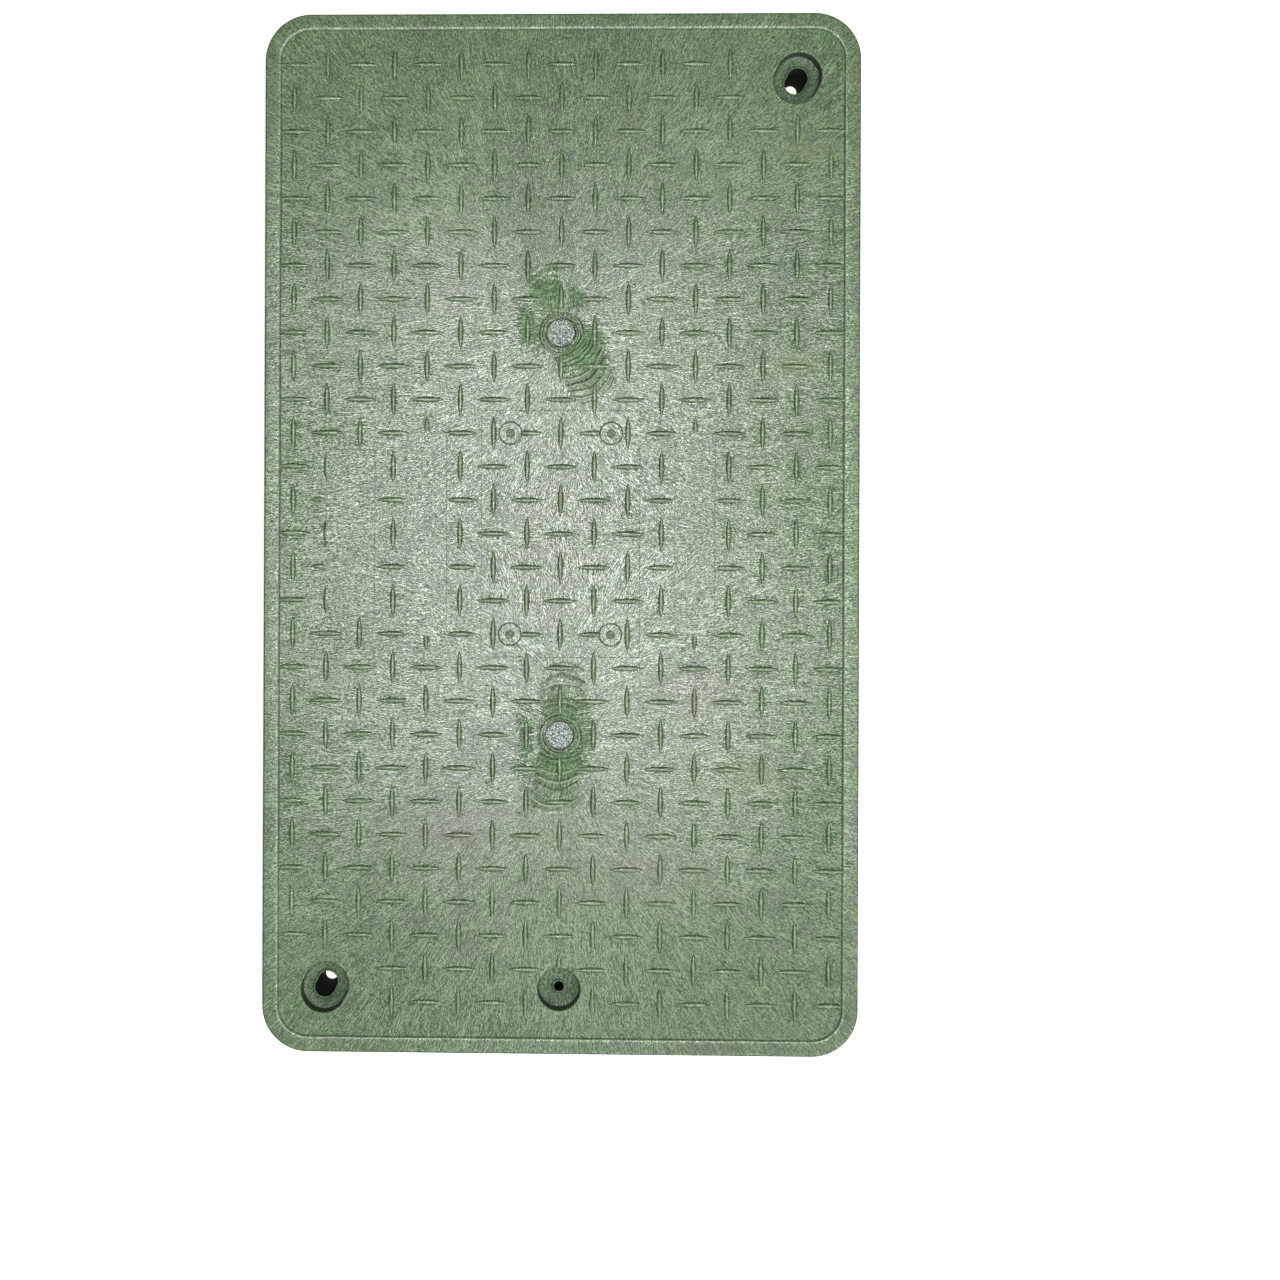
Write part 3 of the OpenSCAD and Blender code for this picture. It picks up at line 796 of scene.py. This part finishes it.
class COVER_OT_underside(bpy.types.Operator):
    """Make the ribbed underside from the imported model's own faces below the plate"""

    bl_idname = "cover.underside"
    bl_label = "Ribbed underside"

    def execute(self, context):
        """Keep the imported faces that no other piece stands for, and merge their points."""
        shape = Shape(context)
        source = frame["nodes"]["cover"].data
        co = np.empty(len(source.vertices) * 3)
        source.vertices.foreach_get("co", co)
        co = co.reshape(-1, 3) / MM
        source.calc_loop_triangles()
        faces = np.empty(len(source.loop_triangles) * 3, np.int32)
        source.loop_triangles.foreach_get("vertices", faces)
        faces = faces.reshape(-1, 3)
        middle = co[faces].mean(1)
        top = co[faces][:, :, 2].max(1)
        low = top < 0.01
        corner = shape.cover.corner_r
        cx = np.maximum(np.abs(middle[:, 0]) - (HALF_W - corner), 0)
        cy = np.maximum(np.abs(middle[:, 1]) - (HALF_L - corner), 0)
        side = np.minimum(HALF_W - np.abs(middle[:, 0]), HALF_L - np.abs(middle[:, 1]))
        inset = np.where((cx > 0) & (cy > 0), corner - np.hypot(cx, cy), side)
        keep = (inset > 0.3) & ~(low & (inset < shape.cover.wall_t + 0.05))
        keep &= middle[:, 2] < TOP - shape.tread.ridge_h - shape.cover.plate_t + 0.5
        seat_z = TOP - shape.seat.seat_depth
        for hole in shape.holes:
            away = distance_to_long_hole(middle[:, 0], middle[:, 1], hole)
            keep &= ~((away < hole.seat_r + 0.2) & (middle[:, 2] > seat_z - 0.2))
            keep &= ~((away < hole.hole_r + 0.05) & (top > hole.bottom + 0.5))
        piece = mesh_object("ribbed_underside", co, faces[keep], plastic(context), 2.0)
        shell = bmesh.new()
        shell.from_mesh(piece.data)
        bmesh.ops.remove_doubles(shell, verts=shell.verts, dist=1e-6)
        shell.to_mesh(piece.data)
        shell.free()
        piece.data.set_sharp_from_angle(angle=math.radians(35))
        return {"FINISHED"}


def add(tree, kind, settings=None, **links):
    """Add a node, set its properties and link or fill its inputs; returns the node.

    A link's name is an input's name with spaces as underscores, or i and its number; its value
    is a number, a colour, another node's output, or a node whose first output is meant.
    """
    made = tree.nodes.new(kind)
    for key, value in (settings or {}).items():
        setattr(made, key, value)
    for key, value in links.items():
        socket = made.inputs[int(key[1:])] if key[0] == "i" and key[1:].isdigit() \
            else made.inputs[key.replace("_", " ")]
        if isinstance(value, bpy.types.Node):
            value = value.outputs[0]
        if isinstance(value, bpy.types.NodeSocket):
            tree.links.new(value, socket)
        else:
            socket.default_value = value
    return made


def calc(tree, operation, *values, vector=False):
    """One step of arithmetic on the values: numbers, vectors or node outputs."""
    kind = "ShaderNodeVectorMath" if vector else "ShaderNodeMath"
    return add(tree, kind, {"operation": operation}, **{f"i{n}": v for n, v in enumerate(values)})


def flow_streaks(tree, place, gate_y, patch, sizes):
    """Streaks that run with the flow of plastic: one output for each (width, length) in sizes.

    Round each of the four nearest points c of a square lattice, noise is read in a frame turned
    to the flow at c and stretched along it; the four are blended, and divided by the root of
    the sum of their squared weights, so the blend keeps its contrast. The flow spreads from the
    nearer gate, and bends towards the long sides near the gate and between the gates.
    """
    scaled = add(tree, "ShaderNodeVectorMath", {"operation": "SCALE"}, i0=place, Scale=1 / patch)
    cell = calc(tree, "FLOOR", scaled, vector=True)
    part = calc(tree, "SUBTRACT", scaled, cell, vector=True)
    part = add(tree, "ShaderNodeSeparateXYZ", i0=part)
    sides = []
    for axis in ("X", "Y"):
        far = add(tree, "ShaderNodeMapRange", {"interpolation_type": "SMOOTHSTEP"},
                  Value=part.outputs[axis])
        sides.append((calc(tree, "SUBTRACT", 1.0, far), far))
    sums = [0.0] * len(sizes)
    weights = 0.0
    for i in (0, 1):
        for j in (0, 1):
            weight = calc(tree, "MULTIPLY", sides[0][i], sides[1][j])
            weights = calc(tree, "MULTIPLY_ADD", weight, weight, weights)
            corner = calc(tree, "ADD", cell, (i, j, 0), vector=True)
            corner = calc(tree, "MULTIPLY", corner, (patch, patch, 0), vector=True)
            luck = add(tree, "ShaderNodeTexWhiteNoise", Vector=corner).outputs["Color"]
            way = flow_way(tree, corner, luck, gate_y)
            across = calc(tree, "CROSS_PRODUCT", (0, 0, 1), way, vector=True)
            arm = calc(tree, "SUBTRACT", place, corner, vector=True)
            a = calc(tree, "DOT_PRODUCT", arm, way, vector=True)
            b = calc(tree, "DOT_PRODUCT", arm, across, vector=True)
            height = add(tree, "ShaderNodeSeparateXYZ", i0=arm).outputs["Z"]
            start = add(tree, "ShaderNodeVectorMath", {"operation": "SCALE"}, i0=luck, Scale=400.0)
            for k, (width, run) in enumerate(sizes):
                at = add(tree, "ShaderNodeCombineXYZ", X=calc(tree, "DIVIDE", a.outputs[1], run),
                         Y=calc(tree, "DIVIDE", b.outputs[1], width),
                         Z=calc(tree, "DIVIDE", height, run))
                at = calc(tree, "ADD", at, start, vector=True)
                noise = add(tree, "ShaderNodeTexNoise", Vector=at, Scale=1.0, Detail=0.6,
                            Roughness=0.6)
                centred = calc(tree, "SUBTRACT", noise, 0.5)
                sums[k] = calc(tree, "MULTIPLY_ADD", centred, weight, sums[k])
    norm = calc(tree, "SQRT", weights)
    return [calc(tree, "DIVIDE", total, norm) for total in sums]


def flow_way(tree, corner, luck, gate_y):
    """Unit vector of the flow at a lattice point, a little off by chance."""
    split = add(tree, "ShaderNodeSeparateXYZ", i0=corner)
    x, y = split.outputs["X"], split.outputs["Y"]
    out = calc(tree, "SUBTRACT", calc(tree, "ABSOLUTE", y), gate_y)
    share = calc(tree, "MULTIPLY_ADD", calc(tree, "ABSOLUTE", out), 0.004, 0.25)
    share = calc(tree, "MINIMUM", share, 1.0)
    wide = calc(tree, "POWER", calc(tree, "DIVIDE", calc(tree, "ABSOLUTE", x), 88.0), 4.0)
    bent = calc(tree, "DIVIDE", 1.0, calc(tree, "ADD", wide, 1.0))
    between = calc(tree, "LESS_THAN", out, 0.0)
    bent = calc(tree, "MULTIPLY_ADD", calc(tree, "SUBTRACT", bent, 1.0), between, 1.0)
    rise = calc(tree, "MULTIPLY", calc(tree, "MULTIPLY", out, share), bent)
    rise = calc(tree, "MULTIPLY", rise, calc(tree, "SIGN", y))
    way = add(tree, "ShaderNodeCombineXYZ", X=x, Y=rise, Z=0.0)
    way = calc(tree, "NORMALIZE", way, vector=True)
    off = calc(tree, "SUBTRACT", luck, (0.5, 0.5, 0), vector=True)
    off = calc(tree, "MULTIPLY", off, (0.5, 0.5, 0), vector=True)
    return calc(tree, "NORMALIZE", calc(tree, "ADD", way, off, vector=True), vector=True)


def foam_material(name, **inputs):
    """New material with a shader of the given inputs; also gives places in millimetres."""
    made = bpy.data.materials.new(name)
    made.use_nodes = True
    tree = made.node_tree
    tree.nodes.clear()
    out = add(tree, "ShaderNodeOutputMaterial")
    shader = add(tree, "ShaderNodeBsdfPrincipled", **inputs)
    tree.links.new(shader.outputs[0], out.inputs["Surface"])
    place = add(tree, "ShaderNodeTexCoord").outputs["Object"]
    place = calc(tree, "MULTIPLY", place, (1 / MM, 1 / MM, 1 / MM), vector=True)
    return made, tree, shader, place


def plastic(context):
    """Structural foam polyethylene, injected through two gates.

    Gas in the melt smears along the mould into fine silvery streaks that run with the flow, so
    the green skin looks combed; dense green shows where the skin was pressed against steel, in
    the folds, beside ridges and round the gates. The skin is satin, a little rough to touch.
    """
    name = "structural_foam_polyethylene_moulded"
    if name in bpy.data.materials:
        return bpy.data.materials[name]
    look = context.scene.cover_plastic
    size = millimetres(look)
    made, tree, shader, place = foam_material(
        name, IOR=look.refraction, Specular_IOR_Level=look.shine)
    gate_y = millimetres(context.scene.cover_gates).gate_y
    short, long = flow_streaks(tree, place, gate_y, size.lattice, (
        (size.streak_w, size.streak_l), (size.streak_w * 1.15, size.scratch_l)))
    speck, mottle, cloud = (
        calc(tree, "SUBTRACT", add(tree, "ShaderNodeTexNoise", Vector=place, Scale=1 / wide,
                                   Detail=detail), 0.5)
        for wide, detail in ((size.grain, 1.0), (size.mottle, 3.0), (size.cloud, 2.0)))
    rich = add(tree, "ShaderNodeAttribute", {"attribute_name": "rich"}).outputs["Fac"]
    marks = calc(tree, "MULTIPLY", short, 2.0)
    marks = calc(tree, "MULTIPLY_ADD", speck, 1.3, marks)
    hair = calc(tree, "MAXIMUM", long, -0.03)
    marks = calc(tree, "MULTIPLY_ADD", hair, 1.9, calc(tree, "SUBTRACT", marks, 0.09))
    calm = add(tree, "ShaderNodeMapRange", Value=rich, i1=1.0, i2=2.0, i3=1.0, i4=0.3)
    marks = calc(tree, "MULTIPLY", marks, calm)
    gas = calc(tree, "MULTIPLY_ADD", mottle, 0.3, calc(tree, "ADD", marks, 0.5))
    gas = calc(tree, "MULTIPLY_ADD", cloud, 0.35, gas)
    skin = tone(tree, gas, ((0.16, look.deep), (0.4, look.green), (0.6, look.pale),
                            (0.88, look.silver)))
    dense = calc(tree, "MULTIPLY_ADD", mottle, 0.6, rich)
    dense = calc(tree, "MULTIPLY_ADD", marks, -0.7, dense)
    dense = add(tree, "ShaderNodeMapRange", {"interpolation_type": "SMOOTHSTEP"}, Value=dense,
                i1=0.1, i2=0.9)
    full = tone(tree, gas, ((0.16, look.dense_low), (0.48, look.dense), (0.88, look.dense_high)))
    green = add(tree, "ShaderNodeMix", {"data_type": "RGBA"}, i0=dense, i6=skin, i7=full)
    smudge = add(tree, "ShaderNodeAttribute", {"attribute_name": "smudge"}).outputs["Fac"]
    colour = green.outputs[2]
    for sign, word in ((1, look.moss), (-1, look.umber)):
        much = calc(tree, "MULTIPLY", smudge, sign * 0.75)
        much = calc(tree, "MULTIPLY_ADD", mottle, 0.4, much)
        much = calc(tree, "MULTIPLY_ADD", marks, -0.2, much)
        much = add(tree, "ShaderNodeMapRange", Value=much, i1=0.16, i2=0.8, i3=0.0, i4=0.6)
        colour = add(tree, "ShaderNodeMix", {"data_type": "RGBA"}, i0=much, i6=colour,
                     i7=hex_colour(word)).outputs[2]
    # Painted light from the edge attribute: above zero a pale painted highlight is mixed in, below
    # zero painted shade darkens the colour.
    edge = add(tree, "ShaderNodeAttribute", {"attribute_name": "edge"}).outputs["Fac"]
    for sign, word, way in ((1, look.painted_highlight, "MIX"), (-1, look.painted_crease_shade, "MULTIPLY")):
        much = calc(tree, "MULTIPLY", edge, sign * 0.85)
        much = calc(tree, "MINIMUM", calc(tree, "MAXIMUM", much, 0.0), 0.92)
        colour = add(tree, "ShaderNodeMix", {"data_type": "RGBA", "blend_type": way}, i0=much,
                     i6=colour, i7=hex_colour(word)).outputs[2]
    tree.links.new(colour, shader.inputs["Base Color"])
    rough = calc(tree, "MULTIPLY_ADD", marks, -0.3, look.roughness)
    rough = calc(tree, "MULTIPLY_ADD", dense, 0.3, rough)
    tree.links.new(rough.outputs[0], shader.inputs["Roughness"])
    bump = add(tree, "ShaderNodeBump", Height=marks, Strength=1.0, Distance=size.relief * MM * 2)
    tree.links.new(bump.outputs[0], shader.inputs["Normal"])
    return made


def tone(tree, factor, stops):
    """Colour ramp node through the given (place, hex word) stops; returns its colour output."""
    ramp = add(tree, "ShaderNodeValToRGB", Fac=factor)
    band = ramp.color_ramp
    while len(band.elements) < len(stops):
        band.elements.new(0.5)
    for element, (at, word) in zip(band.elements, stops):
        element.position = at
        element.color = hex_colour(word)
    return ramp.outputs[0]


def gate_foam():
    """Broken foam of a gate: open silvery cells on dark green, coarse and dull."""
    name = "structural_foam_polyethylene_broken_gate"
    if name in bpy.data.materials:
        return bpy.data.materials[name]
    made, tree, shader, place = foam_material(name, Roughness=0.6, IOR=1.5)
    cells = add(tree, "ShaderNodeTexNoise", Vector=place, Scale=1 / 1.15, Detail=2.0)
    colour = tone(tree, cells, ((0.38, "1E2A1E"), (0.45, "4E5A4E"), (0.52, "7C857F"),
                                (0.64, "A9B0AB")))
    tree.links.new(colour, shader.inputs["Base Color"])
    bump = add(tree, "ShaderNodeBump", Height=cells, Strength=0.7, Distance=0.6 * MM)
    tree.links.new(bump.outputs[0], shader.inputs["Normal"])
    return made


def plain(name, word, roughness, glow=0.0):
    """A plain matt paint, with a little light of its own where glow is over zero."""
    if name in bpy.data.materials:
        return bpy.data.materials[name]
    made = bpy.data.materials.new(name)
    made.use_nodes = True
    shader = made.node_tree.nodes["Principled BSDF"]
    shader.inputs["Base Color"].default_value = hex_colour(word)
    shader.inputs["Roughness"].default_value = roughness
    shader.inputs["Specular IOR Level"].default_value = 0.1
    shader.inputs["Emission Color"].default_value = hex_colour(word)
    shader.inputs["Emission Strength"].default_value = glow
    return made


class COVER_OT_stage(bpy.types.Operator):
    """Make the pale floor, the lamps and the camera straight above the cover"""

    bl_idname = "cover.stage"
    bl_label = "Floor, lamps and camera"

    def execute(self, context):
        """Lens = sensor width * height / width taken in."""
        look = context.scene.cover_stage
        self.sheet(context, "floor", 6.0, 6.0, 0.0,
                   plain("matt_white_floor", look.floor, 0.9, look.floor_glow))
        # A near black sheet under the pick hole is painted shadow: the ground seen through the hole
        # lies in the cover's own deep shadow.
        self.sheet(context, "pit", 0.11, HALF_L * MM - 0.02, 0.0004,
                   plain("painted_shadow_under_cover", "0C0C0A", 1.0))
        self.lamp(context, "overhead", (0.02, 0.0, 2.05), (0.66, 0.46), look.overhead, (0, 0, 0))
        self.lamp(context, "near_side", (1.9, -2.9, 2.9), (1.4, 1.4), look.near_side, (50, 0, 33))
        world = bpy.data.worlds.new("room")
        world.use_nodes = True
        room = world.node_tree.nodes["Background"].inputs
        room["Color"].default_value = (1, 1, 1, 1)
        room["Strength"].default_value = look.room
        context.scene.world = world
        context.scene.view_settings.view_transform = "Standard"
        camera = bpy.data.cameras.new("camera")
        height = look.camera_height
        camera.sensor_width = 36
        camera.lens = camera.sensor_width * height / look.field_width
        camera.shift_x, camera.shift_y = look.shift
        camera.clip_end = 50
        seat = bpy.data.objects.new("camera", camera)
        seat.location = (0, 0, TOP * MM + height)
        seat.rotation_euler = look.tilt
        context.scene.collection.objects.link(seat)
        context.scene.camera = seat
        return {"FINISHED"}

    def sheet(self, context, name, half_x, half_y, level, material):
        """A flat sheet of the stage round the origin, in metres."""
        mesh = bpy.data.meshes.new(name)
        corners = [(sx * half_x, sy * half_y, level)
                   for sx, sy in ((-1, -1), (1, -1), (1, 1), (-1, 1))]
        mesh.from_pydata(corners, [], [(0, 1, 2, 3)])
        mesh.materials.append(material)
        made = bpy.data.objects.new(name, mesh)
        context.scene.collection.objects.link(made)

    def lamp(self, context, name, place, size, power, turn):
        """A soft rectangular lamp; turn is in degrees."""
        light = bpy.data.lights.new(name, "AREA")
        light.shape = "RECTANGLE"
        light.size, light.size_y = size
        light.energy = power
        lamp = bpy.data.objects.new(name, light)
        lamp.location = place
        lamp.rotation_euler = [math.radians(v) for v in turn]
        context.scene.collection.objects.link(lamp)


class COVER_PT_panel(bpy.types.Panel):
    """Sizes, colours and the steps that build the cover"""

    bl_idname = "COVER_PT_panel"
    bl_label = "Valve box cover"
    bl_space_type = "VIEW_3D"
    bl_region_type = "UI"
    bl_category = "Cover"

    def draw(self, context):
        """List every size and colour, then a button for every step."""
        for group in GROUPS:
            box = self.layout.box()
            for key in GROUPS[group].__annotations__:
                box.prop(getattr(context.scene, group), key)
        for step in STEPS:
            self.layout.operator(step.bl_idname)


GROUPS = {
    "cover_body": CoverSizes,
    "cover_tread": TreadSizes,
    "cover_seats": SeatSizes,
    "cover_gates": GateSizes,
    "cover_plastic": PlasticLook,
    "cover_stage": StageLook,
}
STEPS = (COVER_OT_border, COVER_OT_plate, COVER_OT_ridges, COVER_OT_seats, COVER_OT_gates,
         COVER_OT_underside, COVER_OT_stage)
CLASSES = tuple(GROUPS.values()) + STEPS + (COVER_PT_panel,)


def register():
    """Register the classes and hang the settings on the scene."""
    for item in CLASSES:
        bpy.utils.register_class(item)
    for name, group in GROUPS.items():
        setattr(bpy.types.Scene, name, PointerProperty(type=group))


def unregister():
    """Undo register."""
    for name in GROUPS:
        delattr(bpy.types.Scene, name)
    for item in reversed(CLASSES):
        bpy.utils.unregister_class(item)


def main():
    """Build every piece and the stage."""
    register()
    for step in STEPS:
        area, name = step.bl_idname.split(".")
        getattr(getattr(bpy.ops, area), name)()
    bpy.context.view_layer.update()


if __name__ == "__main__":
    main()
